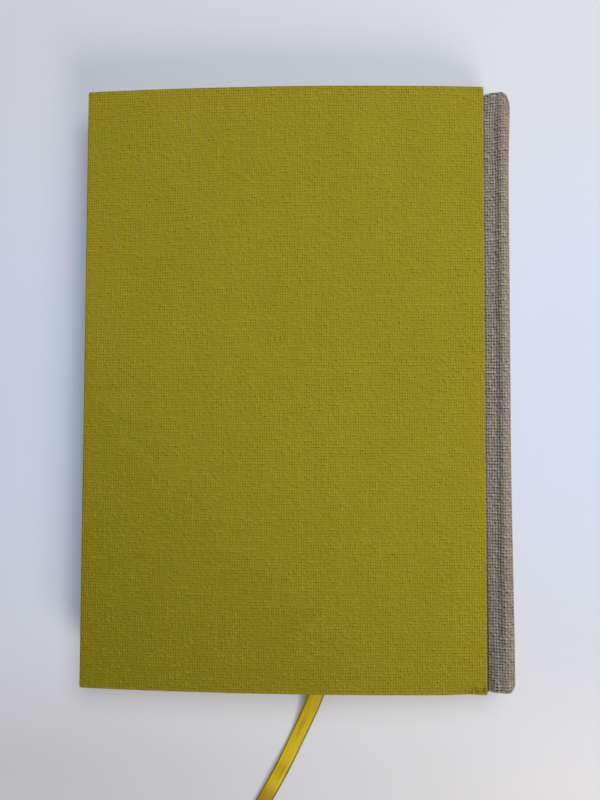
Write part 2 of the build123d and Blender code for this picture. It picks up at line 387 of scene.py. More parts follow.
back_arch = Arch(
    Vector((cover_edge, book_thick)), Vector((fore_edge, book_thick - fore_edge_drop)), back_bow
)
leaves_arch = Arch(
    Vector((cover_edge, back_arch.height(cover_edge, leaves_level))),
    Vector((leaves_edge, back_arch.height(leaves_edge, leaves_level))),
    back_bow * leaves_bow_share,
)


def leaf_height_at(x, share):
    """The height of a leaf that has this share of the leaves below it."""
    top = leaves_arch.height(min(x, cover_edge))
    return leaves_level + share * (top - leaves_level)


leaves_top = leaf_height_at(folds, 1)
signature_thick = (leaves_top - leaves_level) / signature_count


def ribbon_distance(x, y):
    """How far a point of a leaf is from the middle of the ribbon, measured across the book."""
    for before, here in zip(ribbon_line, ribbon_line[1:]):
        if here.y <= y <= before.y:
            share = (before.y - y) / (before.y - here.y)
            return abs(x - before.x - share * (here.x - before.x))
    return ribbon_width * 4


def is_level(edge):
    return abs(edge.verts[0].co.z - edge.verts[1].co.z) < 1e-7


def bevel_edges(bm, edges, radius):
    """Rounds edges off in four steps."""
    bmesh.ops.bevel(
        bm, geom=edges, offset=radius, segments=4, profile=0.5, affect="EDGES", material=-1
    )


def signature(number):
    """One signature: its two faces part where the ribbon lies against them."""
    above_ribbon = number == signature_count / 2
    below_ribbon = number == signature_count / 2 - 1
    by_ribbon = above_ribbon or below_ribbon
    columns, rows = cells_by_ribbon if by_ribbon else plain_cells
    bm = bmesh.new()
    bmesh.ops.create_grid(bm, x_segments=columns, y_segments=rows, size=1)
    middle = (folds + leaves_edge) / 2
    play = trim_play * noise.noise((number * 1.7, 0.3, 0.9))
    for vertex in bm.verts:
        x = middle + vertex.co.x * (folds - leaves_edge) / 2
        y = vertex.co.y * (leaf_end + play / 2)
        vertex.co = (x if vertex.co.x > -0.99 else x - play, y, 0)
    made = bmesh.ops.extrude_face_region(bm, geom=bm.faces[:], use_keep_orig=True)["geom"]
    upper = [v for v in made if isinstance(v, bmesh.types.BMVert)]
    bmesh.ops.translate(bm, verts=upper, vec=(0, 0, signature_thick))
    levels = [e for e in bm.edges if is_level(e)]
    backs = [e for e in levels if all(v.co.x > folds - 1e-6 for v in e.verts)]
    bevel_edges(bm, backs, fold_round_share * signature_thick)
    bmesh.ops.recalc_face_normals(bm, faces=bm.faces)
    lay_flat(bm, lambda _, vertex: (folds - vertex.co.x, number + vertex.co.z / signature_thick))
    for vertex in bm.verts:
        x, y, z = vertex.co
        share = z / signature_thick
        parting = 0.0
        if by_ribbon:
            near = exp(-((ribbon_distance(x, y) / parting_reach) ** 2))
            parting = parting_depth * near * (1 - share if above_ribbon else -share)
        vertex.co.z = leaf_height_at(x, (number + share) / signature_count) + parting
    return bm


def page_edges():
    """Cream paper on the trimmed edges, with painted shade in the lines between leaves and, darker, between
    signatures, and nested folds near the spine.
    """
    finish = Finish("leaf_paper")
    depth, level = finish.cut()
    up = (level.fraction() - 0.5) * 2
    past_fold = (1 - depth / (signature_thick / 2)).at_least(0.0)
    ring = (up * up + past_fold * past_fold) ** 0.5
    leaf = ring * folded_sheets
    # Painted shade in the lines between leaves, and darker between signatures.
    gap_with_painted_shade = abs(leaf.fraction() - 0.5).rise(0.32, 0.5)
    signature_gap_with_painted_shade = ring.rise(0.86, 1.0)
    each = finish.cloud((level.floor() * 3.1, leaf.floor() * 1.7), 1.0, 0.0)
    fibres = finish.cloud(finish.place(), 2600, 3.0)
    stains = finish.cloud(finish.place(), 35, 2.0)
    colour = finish.layered(
        (226, 217, 192),
        (each, (243, 236, 216)),
        (fibres.rise(0.45, 0.75) * 0.3, (212, 200, 172)),
        (stains.rise(0.4, 0.8) * 0.25, (221, 208, 176)),
        (gap_with_painted_shade * 0.32, (150, 136, 108)),
        (signature_gap_with_painted_shade * 0.45, (118, 104, 80)),
    )
    height = fibres * 0.3 - gap_with_painted_shade * 0.5 - signature_gap_with_painted_shade
    return finish.surface(colour, 0.88 - fibres * 0.06, height, 0.00007)


def joined(parts):
    """Several bmeshes as one."""
    whole = bmesh.new()
    for part in parts:
        mesh = bpy.data.meshes.new("part")
        part.to_mesh(mesh)
        part.free()
        whole.from_mesh(mesh)
        bpy.data.meshes.remove(mesh)
    return whole


leaves = as_piece("leaves", joined([signature(n) for n in range(signature_count)]), page_edges())
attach(leaves, "book_block")
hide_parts("page_block")

# Spine lining: a strip of mull and brown paper, glued over the backs of the signatures
# between the two headbands. It keeps the folds together and hides in the hollow.


def lining_paper():
    finish = Finish("lining_paper")
    place = finish.place()
    _, along, up = finish.parts(place)
    mesh_pitch = 0.0013
    threads = (along * (tau / mesh_pitch)).cosine().at_least((up * (tau / mesh_pitch)).cosine())
    fibres = finish.cloud(place, 900, 4.0, 0.6)
    paper = finish.mix(fibres, (150, 124, 86), (190, 164, 122))
    colour = finish.mix(threads.rise(0.55, 0.95) * 0.7, paper, (214, 204, 180))
    return finish.surface(colour, 0.9 - fibres * 0.1, threads.rise(0.4, 1.0) + fibres, 0.00008)


def finish_node(name, material):
    """Gives a CAD piece, which stays as it is, its material and slot."""
    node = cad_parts[name]
    node.data.materials.clear()
    node.data.materials.append(material)


finish_node("spine_lining", lining_paper())

# Headbands: a cord wound with cream and olive thread in turn, on a strip of cotton. One
# is glued over the folds at the head and one at the tail, with the cord on the leaves' edge.

band_radius = 0.0008
band_turns = 30
turn_steps = 4
band_sides = 20
turns_of_colour = 3
thread_relief = 0.00007
lining_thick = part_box("spine_lining")[1].x - folds
turn_height = (leaves_top - leaves_level) / band_turns
strand_pitch = 0.00016


def band_thread():
    finish = Finish("headband_thread", sheen_weight=0.25)
    place = finish.place()
    x, y, up = finish.parts(place)
    turn = (up - leaves_level) / turn_height
    stripe = ((turn / turns_of_colour).floor() / 2).fraction() * 2
    strands = ((x + y + up * 0.4) * (tau / strand_pitch)).cosine() * 0.5 + 0.5
    worn = finish.cloud(place, 1500, 3.0)
    cream = finish.mix(worn, (206, 194, 160), (236, 227, 202))
    olive = finish.mix(worn, (104, 98, 30), (142, 132, 52))
    colour = finish.mix(stripe, cream, olive)
    # Painted shade in the grooves between the turns of thread.
    painted_shade_between_turns = abs(turn.fraction() - 0.5).rise(0.36, 0.5)
    colour = finish.mix(painted_shade_between_turns * 0.5, colour, (70, 62, 34))
    return finish.surface(colour, 0.62 - strands * 0.1, strands + worn * 0.5, 0.00004)


def headband(end):
    """A wound cord with a thread's bulge for each turn, and its strip over the folds."""
    middle = Vector((folds + lining_thick - band_radius, end * (leaf_end + band_radius), 0))
    bm = bmesh.new()
    tip = bm.verts.new(middle + Vector((0, 0, leaves_level)))
    for step in range(band_turns * turn_steps + 1):
        bulge = abs(sin(pi * step / turn_steps))
        reach = band_radius - thread_relief * (1 - bulge)
        place = middle + Vector((reach, 0, leaves_level + step * turn_height / turn_steps))
        tip = extruded_to(bm, tip, place)
    extruded_to(bm, tip, middle + Vector((0, 0, leaves_top)))
    drawn = bm.verts[:] + bm.edges[:]
    bmesh.ops.spin(
        bm, geom=drawn, cent=middle, axis=(0, 0, 1), angle=tau, steps=band_sides, use_merge=True
    )
    bmesh.ops.remove_doubles(bm, verts=bm.verts, dist=1e-7)
    strip_low, strip_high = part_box("head_band" if end > 0 else "tail_band")
    strip = bmesh.ops.create_cube(bm, size=1)["verts"]
    low = Vector((folds, strip_low.y, leaves_level))
    high = Vector((folds + lining_thick, strip_high.y, leaves_top))
    (high if end > 0 else low).y = middle.y
    bmesh.ops.scale(bm, verts=strip, vec=high - low)
    bmesh.ops.translate(bm, verts=strip, vec=(low + high) / 2)
    bmesh.ops.recalc_face_normals(bm, faces=bm.faces)
    return bm


def extruded_to(bm, tip, place):
    """Draws an edge from a vertex to a place, and gives the new vertex."""
    made = bmesh.ops.extrude_vert_indiv(bm, verts=[tip])["verts"][0]
    made.co = place
    return made


thread = band_thread()
for band, end in (("head_band", 1), ("tail_band", -1)):
    wound = as_piece(f"{band}_wound", headband(end), thread)
    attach(wound, "book_block")
    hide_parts(band)

# Boards: two covers and a narrow strip in the spine, cut from grey board made of pulped
# paper. Cloth covers them on every side, so only their shape shows.


def greyboard():
    finish = Finish("greyboard")
    place = finish.place()
    pulp = finish.cloud(place, 700, 5.0, 0.65)
    flecks = finish.cloud(place, 2600, 2.0)
    colour = finish.mix(pulp, (150, 146, 138), (186, 182, 172))
    colour = finish.mix(flecks.rise(0.62, 0.72) * 0.6, colour, (104, 98, 92))
    return finish.surface(colour, 0.9 - pulp * 0.08, pulp, 0.00008)


grey = greyboard()
for board in ("back_board", "front_board", "spine_board"):
    finish_node(board, grey)

# Endpapers: one folded sheet of heavier paper at each end of the book. One half is pasted
# on the cover, over the linen and the turned-in cloth, whose edges show through it. The
# other half is free on the leaves, and the fold between them is glued under the linen.

endpaper_thick = 0.0002
square = 0.003
turn_in = 0.015
flange_width = 0.012
cover_cloth_thick = 0.0003
spine_cloth_thick = 0.0004
turn_edge = 0.0012
endpaper_seam = cover_edge + 0.0037
seam_depth = covered_thick + spine_cloth_thick + endpaper_thick / 2
seam = Vector((endpaper_seam, book_thick - seam_depth))
kink = 0.001
pasted_column = 0.003
pasted_row = 0.006
free_row = 0.005
paper_tooth = 0.00003
teeth_to_metre = 60
paper_lift = 0.00006
lifts_to_metre = 28


def extruded_edges(bm, edges):
    """Extrudes a row of edges in place, and gives the new row's edges and vertices."""
    made = bmesh.ops.extrude_edge_only(bm, edges=edges)["geom"]
    verts = [g for g in made if isinstance(g, bmesh.types.BMVert)]
    fresh = set(verts)
    row = [g for g in made if isinstance(g, bmesh.types.BMEdge) and set(g.verts) <= fresh]
    return row, verts


def drawn_sheet(start, heading, stretches, places):
    """A sheet with its section drawn in the XZ plane, and a row of vertices at each place along.

    A stretch of the section is a length, a turn in radians, and steps."""
    bm = bmesh.new()
    run, lean, rise = [bm.verts.layers.float.new(name) for name in ("run", "lean", "rise")]
    tip = bm.verts.new((start.x, 0, start.y))
    tip[lean] = heading
    travelled = 0.0
    for length, turn, steps in stretches:
        for _ in range(steps):
            heading += turn / steps / 2
            ahead = Vector((cos(heading), 0, sin(heading)))
            tip = extruded_to(bm, tip, tip.co + ahead * (length / steps))
            heading += turn / steps / 2
            travelled += length / steps
            tip[run] = travelled
            tip[lean] = heading
    for vertex in bm.verts:
        vertex.co.y = places[0]
        vertex[rise] = places[0]
    row = bm.edges[:]
    for before, here in zip(places, places[1:]):
        row, verts = extruded_edges(bm, row)
        bmesh.ops.translate(bm, verts=verts, vec=(0, here - before, 0))
        for vertex in verts:
            vertex[rise] += here - before
    return bm


def lay_drawn_flat(bm):
    """Lays a drawn sheet flat, by how far its vertices are along the section and the book."""
    run, rise = [bm.verts.layers.float[name] for name in ("run", "rise")]
    lay_flat(bm, lambda _, vertex: (vertex[run], vertex[rise]))


def face_up(bm, probe):
    """Turns all faces over where the one nearest to probe would face down."""
    bmesh.ops.recalc_face_normals(bm, faces=bm.faces)
    nearest = min(bm.faces, key=lambda face: (face.calc_center_median() - probe).length)
    if nearest.normal.z < 0:
        bmesh.ops.reverse_faces(bm, faces=bm.faces)


def to_front(bm):
    """Turns a piece made for the back cover over to the front cover."""
    bmesh.ops.scale(bm, verts=bm.verts, vec=(1, 1, -1))
    bmesh.ops.translate(bm, verts=bm.verts, vec=(0, 0, book_thick))
    bmesh.ops.reverse_faces(bm, faces=bm.faces)


def smooth_rise(value, low, high):
    """0 at low and 1 at high, and level at both."""
    share = min(max((value - low) / (high - low), 0.0), 1.0)
    return share * share * (3 - 2 * share)


def step_down(distance):
    """0 before an edge that lies under the paper, and 1 past it, with the paper's own slope."""
    return smooth_rise(distance, -turn_edge / 2, turn_edge / 2)


def row_places(end, marks, pitch):
    """Places along the book from -end to end, with a close row at each mark."""
    close = [mark + offset * turn_edge for mark in marks for offset in (-0.5, -0.2, 0.0, 0.2, 0.5)]
    count = round(2 * end / pitch)
    even = [-end + 2 * end * number / count for number in range(count + 1)]
    spread = [p for p in even if all(abs(p - c) > pitch / 3 for c in close)]
    return sorted(set(spread + close + [-end, end]))


def laid_on(arch, arched, flat_length):
    """The length, bend and lift at the joint of a sheet on an arch, or on a flat face."""
    if arched:
        return arch.length, 1 / arch.radius, arch.heading(0) - pi
    return flat_length, 0.0, 0.0


def pasted_endpaper(arched):
    """The pasted half, from the seam under the linen to the fore-edge of the cover."""
    length, bend, lift = laid_on(back_arch, arched, cover_edge - fore_edge)
    marks = (flange_width, turn_in, length - turn_in)
    stretches = [(endpaper_seam - cover_edge - kink / 2, 0.0, 14), (kink, lift, 3)]
    reached = kink / 2
    for mark in marks:
        plain = mark - turn_edge / 2 - reached
        steps = max(2, round(plain / pasted_column))
        stretches += [(plain, plain * bend, steps), (turn_edge, turn_edge * bend, 5)]
        reached = mark + turn_edge / 2
    rest = length - square - reached
    stretches.append((rest, rest * bend, 5))
    window = cover_end - turn_in
    places = row_places(leaf_end, (-window, window), pasted_row)
    bm = drawn_sheet(seam, pi, stretches, places)
    run = bm.verts.layers.float["run"]
    for vertex in bm.verts:
        along = vertex[run] - (endpaper_seam - cover_edge)
        flange = 1 - step_down(along - flange_width)
        across_window = step_down(along - turn_in) * step_down(length - turn_in - along)
        in_window = across_window * step_down(window - abs(vertex.co.y))
        sink = spine_cloth_thick * (1 - flange) + cover_cloth_thick * in_window
        tooth = noise.noise(vertex.co * teeth_to_metre) * paper_tooth if along > kink else 0.0
        vertex.co.z += sink + tooth
    face_up(bm, Vector((0, 0, book_thick)))
    bmesh.ops.reverse_faces(bm, faces=bm.faces)
    return bm


def free_endpaper(arched):
    """The free half, from the seam round the fold and over the leaves."""
    leaf_side = leaves_top if arched else book_thick - leaves_level
    joint_side = book_thick - covered_thick - spine_cloth_thick
    outer = (joint_side - leaf_side) / 2
    middle = outer - endpaper_thick / 2
    reach = folds - outer
    over, bend, lie = laid_on(leaves_arch, arched, cover_edge - leaves_edge)
    over -= kink / 2
    stretches = [
        (reach - endpaper_seam, 0.0, 4),
        (pi * middle, -pi, 10),
        (reach - cover_edge - kink / 2, 0.0, 4),
        (kink, lie, 3),
        (over, over * bend, 48),
    ]
    bm = drawn_sheet(seam, 0.0, stretches, row_places(leaf_end, (), free_row))
    for vertex in bm.verts:
        if vertex.co.x < cover_edge - kink:
            vertex.co.z += paper_lift * (1 + noise.noise(vertex.co * lifts_to_metre))
    face_up(bm, Vector((0, 0, book_thick)))
    return bm


def bend_at_joint(piece, side):
    """Lets a piece that crosses the joint follow its cover there."""
    start, end = (endpaper_seam, 0, 0), (cover_edge, 0, 0)
    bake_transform(piece, "book_block", f"{side}_cover", start=start, end=end)


def endpaper_paper():
    finish = Finish("endpaper")
    place = finish.place()
    fibres = finish.cloud(place, 1900, 4.0, 0.6)
    felt = finish.cloud(place, 260, 3.0)
    mottle = finish.cloud(place, 24, 2.0)
    paper = finish.mix(mottle, (231, 224, 205), (240, 234, 218))
    paper = finish.mix(fibres.rise(0.5, 0.8) * 0.35, paper, (214, 204, 178))
    flecks = finish.cloud(place, 950, 0.0).rise(0.74, 0.8)
    colour = finish.mix(flecks * 0.4, paper, (176, 160, 128))
    return finish.surface(colour, 0.86 - felt * 0.08, fibres + felt * 0.6, 0.00004)


paper = endpaper_paper()
sides = (("back", True), ("front", False))
halves = (("pasted", "pastedown", pasted_endpaper), ("free", "flyleaf", free_endpaper))
for side, arched in sides:
    for half, node, drawn in halves:
        bm = drawn(arched)
        lay_drawn_flat(bm)
        if not arched:
            to_front(bm)
        sheet = as_piece(f"{side}_endpaper_{half}", bm, paper)
        give_thickness(sheet, endpaper_thick)
        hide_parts(f"{side}_{node}")
        if half == "pasted":
            bend_at_joint(sheet, side)
        else:
            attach(sheet, "book_block")

# Spine: one strip of coarse grey linen, glued inside both covers and drawn over the spine
# board, with its ends turned in at the head and the tail. It is modelled in two like
# halves that meet along the middle, because each half bends with its own cover.

joint_flat = 0.0037
bead_radius = 0.0022
spine_turn_in = 0.014
hem_width = 0.0022
flange_short = 0.0005
end_roll = 0.00042
head_corner = (0.0040, 0.005)
tail_corner = (0.0026, 0.003)
corner_reach = 0.009
rounding_steps = 5
inner_steps = 4
joint_slack_share = 0.6
slack_reach = {1: 0.009, -1: 0.024}
flare = {1: 0.0006, -1: 0.0008}
flare_reach = {1: 0.03, -1: 0.09}
linen_row = 0.0029
linen_pitches = (0.00093, 0.00105)
linen_waves = 0.00008
broad_waves_to_metre = 70
fine_waves_to_metre = 190
spine_face = spine_high.x
spine_board_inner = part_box("spine_board")[0].x
bead_drop = spine_low.z
strip_end = (spine_high.y - spine_low.y) / 2
strip_middle = (spine_high.y + spine_low.y) / 2


def linen_rows():
    """Places along the spine, closer together near its ends."""
    span = strip_end - corner_reach
    count = round(2 * span / linen_row)
    inner = [span * (2 * number / count - 1) for number in range(count + 1)]
    outer = [strip_end - corner_reach * share for share in (0.8, 0.6, 0.42, 0.26, 0.12, 0.0)]
    return sorted([-place for place in outer] + inner + outer)


def linen_end(end, outer, lean, past_crest):
    """How the linen folds in at a vertex: a flat hem by the joint, and a cap on the spine.

    Gives how far back the fold starts, and its points: over the rounded edge, on over the
    inner edge, and at the end of the turned-in cloth."""
    corner_across, corner_along = head_corner if end > 0 else tail_corner
    worn = sin(lean) ** 2 if past_crest > 0 else 0.0
    on_flange = smooth_rise(-outer.x, -cover_edge, kink - cover_edge)
    past_corner = min(max((outer.x - spine_face) / corner_across + 1, 0.0), 1.0)
    limit = strip_end - flange_short * on_flange
    limit -= corner_along * (1 - worn) * (1 - sqrt(1 - past_corner**2))
    inner = outer + Vector((sin(lean), 0, -cos(lean))) * (2 * end_roll)
    inner.x = min(inner.x, spine_board_inner - spine_cloth_thick)
    if past_crest > 0:
        crest = spine_high.z - 2 * end_roll
        inner.z = crest - (crest - book_thick / 2) * past_crest
    deep = (inner - outer).length
    across = min(end_roll + (corner_across - end_roll) * worn, deep - end_roll / 4)
    along = end_roll + (corner_along - end_roll) * worn
    longer = smooth_rise(outer.x, spine_board_inner - 3 * end_roll, spine_board_inner)
    tuck = hem_width + (spine_turn_in - hem_width) * longer
    turns = [pi / 2 * (step + 1) / rounding_steps for step in range(rounding_steps)]
    steps = [(across * (1 - cos(turn)), along * (1 - sin(turn))) for turn in turns]
    turns = [pi / 2 * (step + 1) / inner_steps for step in range(inner_steps)]
    steps += [(across + (deep - across) * sin(t), end_roll * (1 - cos(t))) for t in turns]
    places = []
    for depth, back in [*steps, (deep, end_roll + tuck)]:
        place = outer.lerp(inner, depth / deep)
        place.y = end * (limit - back)
        places.append(place)
    return strip_end - limit + along, places


def linen_half(arched):
    """Half the linen, with its outer face drawn from inside the cover to the spine's middle."""
    slope_run = spine_board_inner - cover_edge - joint_flat
    angle = 2 * atan((covered_thick - bead_drop) / slope_run)
    slope = slope_run / 2 / sin(angle) * angle
    _, bend, lift = laid_on(back_arch, arched, 0.0)
    glued = flange_width - kink / 2
    to_crest = flange_width + joint_flat + 2 * slope
    past_crest = [
        (spine_face - bead_radius - spine_board_inner, 0.0, 1),
        (bead_radius * pi / 2, -pi / 2, 9),
        (spine_high.z - bead_radius - book_thick / 2, 0.0, 5),
    ]
    crest_to_middle = sum(length for length, _, _ in past_crest)
    stretches = [
        (glued, -glued * bend, 4),
        (kink, -lift, 3),
        (joint_flat - kink / 2, 0.0, 14),
        (slope, angle, 6),
        (slope, -angle, 6),
        *past_crest,
    ]
    if arched:
        start = back_arch.point(flange_width, covered_thick)
        heading = back_arch.heading(flange_width) - pi
    else:
        start = Vector((cover_edge - flange_width, book_thick - covered_thick))
        heading = 0.0
    bm = drawn_sheet(start, heading, stretches, linen_rows())
    run, lean, rise = [bm.verts.layers.float[name] for name in ("run", "lean", "rise")]
    for end in (-1, 1):
        row = [e for e in bm.edges if all(abs(v[rise] - end * strip_end) < 1e-6 for v in e.verts)]
        folds_in = {}
        for vertex in {v for e in row for v in e.verts}:
            past = (vertex[run] - to_crest) / crest_to_middle
            outer = Vector((vertex.co.x, 0, vertex.co.z))
            folds_in[vertex[run]] = linen_end(end, outer, vertex[lean], past)
        for vertex in bm.verts:
            past = end * vertex[rise] - (strip_end - corner_reach)
            if past > 0:
                short, _ = folds_in[vertex[run]]
                vertex.co.y -= end * short * past / corner_reach
        for step in range(rounding_steps + inner_steps + 1):
            row, verts = extruded_edges(bm, row)
            for vertex in verts:
                _, places = folds_in[vertex[run]]
                place = places[step]
                vertex[rise] += (place - vertex.co).length
                vertex.co = place
    for vertex in bm.verts:
        settle_linen(vertex)
    lay_drawn_flat(bm)
    face_up(bm, Vector((cover_edge + joint_flat / 2, 0, book_thick)))
    return bm


def settle_linen(vertex):
    """Lets the joint lie slack near the ends, the ends flare, and the cloth wave a little."""
    place = vertex.co.copy()
    x, y, z = place
    end = 1 if y > 0 else -1
    fade = smooth_rise(abs(y), strip_end - slack_reach[end], strip_end - slack_reach[end] / 4)
    rising = smooth_rise(x, cover_edge + kink, cover_edge + joint_flat)
    on_top = smooth_rise(z, book_thick / 2, book_thick - covered_thick - 2 * end_roll)
    below_crest = max(spine_high.z - z, 0.0) if x < spine_board_inner else 0.0
    vertex.co.z += joint_slack_share * below_crest * fade * rising * on_top
    flared = smooth_rise(x, cover_edge + joint_flat, spine_face)
    flared *= smooth_rise(abs(y), strip_end - flare_reach[end], strip_end)
    vertex.co.x += flare[end] * flared
    uneven = noise.noise(place * broad_waves_to_metre)
    uneven += 0.5 * noise.noise(place * fine_waves_to_metre)
    calm = smooth_rise(strip_end - abs(y), end_roll, corner_reach)
    vertex.co.z += linen_waves * uneven * rising * calm * on_top
    vertex.co.y += strip_middle


def plain_weave(finish, pitches, widths, play, wander, crumple, lead):
    """Threads over and under each other: relief, lightness of the upper thread, and painted shade in the
    gaps.

    Widths are the shares of their pitch that columns and rows fill, which play varies. Threads
    leave their line by up to half of wander, more raggedly with more crumple, and the rows
    stand higher than the columns by lead."""
    u, v = finish.cut()
    drift_u = (finish.cloud((u, v, 0.3), 90, crumple, 0.6) - 0.5) * wander
    drift_v = (finish.cloud((u, v, 0.7), 90, crumple, 0.6) - 0.5) * wander
    across = u / pitches[0] + drift_u
    along = v / pitches[1] + drift_v
    column = across.floor()
    row = along.floor()
    column_slub = finish.cloud((column * 3.7, along * 0.8, 4.0), 1.0, 3.0)
    row_slub = finish.cloud((across * 0.5, row * 3.3, 9.0), 1.0, 3.0)
    pale_column = finish.cloud((column * 5.1, along * 0.06, 6.0), 1.0, 1.0).rise(0.6, 0.68)
    pale_row = finish.cloud((across * 0.06, row * 5.3, 2.0), 1.0, 1.0).rise(0.6, 0.67)
    column_width = (column_slub - 0.5) * play + widths[0]
    row_width = (row_slub - 0.5) * play + widths[1]
    column_round = 1 - (abs(across.fraction() - 0.5) * 2 / column_width) ** 2
    row_round = 1 - (abs(along.fraction() - 0.5) * 2 / row_width) ** 2
    column_over = ((along - 0.5 + column) * pi).cosine()
    row_over = ((across - 0.5 + row) * pi).cosine()
    column_height = column_round.at_least(0.0) * (0.5 - lead + column_over * 0.5)
    row_height = row_round.at_least(0.0) * (pale_row * 0.1 + 0.5 + lead - row_over * 0.5)
    height = column_height.at_least(row_height)
    upper = (column_height - row_height).rise(-0.1, 0.1)
    row_tone = row_slub + pale_row * 0.2 + finish.speckle(0.5, row) * 0.16
    column_tone = column_slub + pale_column * 0.2 + finish.speckle(column, 0.5) * 0.3
    tone = row_tone + (column_tone - row_tone) * upper
    light = (tone + finish.speckle(column, row)) * 0.45
    knot = finish.speckle((across + 0.5).floor(), (along + 0.5).floor())
    close = finish.cloud((u, v, 5.0), 110, 3.0).rise(0.36, 0.62)
    # Painted shade where the threads sink, darkest in the gaps between them.
    gap_with_painted_shade = (1 - height.rise(0.0, 0.66)) * (knot * 0.6 + 0.24 + knot.rise(0.96, 0.985) * 0.4)
    return height, light, gap_with_painted_shade * (1 - close * 0.12)


def grey_linen():
    finish = Finish("spine_linen", specular_ior_level=0.15)
    height, light, gap_with_painted_shade = plain_weave(finish, linen_pitches, (0.8, 0.86), 0.7, 1.2, 4.0, 0.05)
    place = finish.place()
    fibres = finish.cloud(place, 2600, 3.0, 0.6)
    warmth = finish.cloud(place, 160, 2.0)
    from_edge, along = finish.cut()
    from_edge = from_edge - flange_width
    # Painted light: the rounded ridge over the spine board is lighter and warmer, as if lit from the right.
    painted_light_on_ridge = from_edge.rise(joint_flat + 0.0015, joint_flat + 0.005)
    # Painted shade: the linen darkens towards the tail, as the light falls off there.
    painted_shade_towards_tail = 1 - along.rise(-0.1, -0.03)
    free = from_edge.rise(-0.0012, -0.0003)
    # Painted shade: a dark line on the linen just beside the board's edge, where the board stands above it.
    painted_shade_by_board = free * (1 - from_edge.rise(0.0006, 0.0021)) * (painted_shade_towards_tail * 0.6 + 0.25)
    # Painted shade in the joint's groove beside the board, towards the tail.
    painted_shade_in_groove = free * (1 - from_edge.rise(0.002, 0.006)) * painted_shade_towards_tail
    thread = finish.mix(warmth, (148, 142, 133), (156, 147, 134))
    # Painted light on the ridge.
    thread = finish.mix(painted_light_on_ridge * 0.75, thread, (173, 153, 131))
    colour = finish.layered(
        finish.mix(0.36, thread, (92, 84, 78)),
        (light.rise(0.3, 0.6), thread),
        (light.rise(0.6, 0.8) * 0.3, (204, 196, 184)),
        (fibres.rise(0.4, 0.7) * 0.3, (184, 174, 161)),
        # Painted shade in the gaps between threads, less on the lit ridge.
        (gap_with_painted_shade * (2.1 - painted_light_on_ridge * 0.8), (54, 48, 43)),
        # Painted shade towards the tail and in the groove beside the board.
        (painted_shade_towards_tail * 0.1 + painted_shade_in_groove * 0.14, (56, 45, 22)),
        # Painted shade along the board's edge.
        (painted_shade_by_board, (48, 40, 22)),
    )
    return finish.surface(colour, 0.9 - fibres * 0.1, height + fibres * 0.2, 0.00025)


linen = grey_linen()
for side, arched in sides:
    half = linen_half(arched)
    if not arched:
        to_front(half)
    strip = as_piece(f"spine_linen_{side}", half, linen)
    give_thickness(strip, spine_cloth_thick, -1.0)
    bend_at_joint(strip, side)
    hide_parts("spine_cloth", f"{side}_cloth_flange")

# Cover cloth: green book cloth, woven fine and backed with paper, glued round each board
# and turned in on its inner face with mitred corners. The glue has drawn the back cover
# into a bow, and the cloth is puckered where it was worked round one corner.

corner_radius = 0.0007
rim_radius = 0.0006
cloth_cell = 0.0022
mitre_depth = 0.00012
pucker_reach = 0.0045
pucker_depth = 0.00055
pucker_limit = 0.00024
pucker_count = 12
pucker_cuts = 5
pucker_start = 0.0012
pucker_twist = 14
edge_draw = 0.0003
edge_draw_reach = 0.004
hollow_place, hollow_reach = 0.0075, 0.0042
tip_place, tip_reach = 0.0018, 0.0013
tip_share = 0.7
green_pitches = (0.00087, 0.00101)
rim_calm_reach = 0.006
cloth_swells = 0.00008
swells_to_metre = 22
cloth_ripples = 0.000012
ripples_to_metre = 75


def unfolded(face, vertex, half_width):
    """Where a corner of a face of the wrapped cloth was on the flat cut."""
    x, y, z = vertex.co
    normal, middle = face.normal, face.calc_center_median()
    if normal.z > 0.5:
        return x, y
    if normal.z < -0.5:
        if abs(middle.x) - half_width > abs(middle.y) - cover_end:
            return copysign(2 * half_width + covered_thick, middle.x) - x, y
        return x, copysign(2 * cover_end + covered_thick, middle.y) - y
    if abs(normal.x) > abs(normal.y):
        return (half_width - z if normal.x > 0 else z - half_width), y
    return x, (cover_end - z if normal.y > 0 else z - cover_end)


def wrapped_board(length, puckered):
    """Cloth on a flat board, centred, with its outer face up at height 0."""
    half_width = length / 2
    columns, rows = round(length / cloth_cell), round(2 * cover_end / cloth_cell)
    bm = bmesh.new()
    bmesh.ops.create_grid(bm, x_segments=columns, y_segments=rows, size=1)
    bmesh.ops.scale(bm, verts=bm.verts, vec=(half_width, cover_end, 1))
    rim = [e for e in bm.edges if e.is_boundary]
    wall, lower = extruded_edges(bm, rim)
    bmesh.ops.translate(bm, verts=lower, vec=(0, 0, -covered_thick))
    _, inner = extruded_edges(bm, wall)
    for vertex in inner:
        x, y, _ = vertex.co
        vertex.co.x -= turn_in * max(-1.0, min(1.0, x / (half_width - turn_in)))
        vertex.co.y -= turn_in * max(-1.0, min(1.0, y / (cover_end - turn_in)))
    posts = [e for e in bm.edges if is_post(e, half_width)]
    bevel_edges(bm, posts, corner_radius)
    rims = [e for e in bm.edges if e.calc_face_angle(0.0) > radians(60) and is_level(e)]
    bevel_edges(bm, rims, rim_radius)
    if puckered:
        refine_corner(bm, half_width)
    bm.normal_update()
    lay_flat(bm, lambda face, vertex: unfolded(face, vertex, half_width))
    return bm


def is_post(edge, half_width):
    """Whether an edge stands upright at a corner of the board."""
    x, y, _ = edge.verts[0].co
    at_corner = abs(x) > half_width - 1e-6 and abs(y) > cover_end - 1e-6
    return at_corner and not is_level(edge)


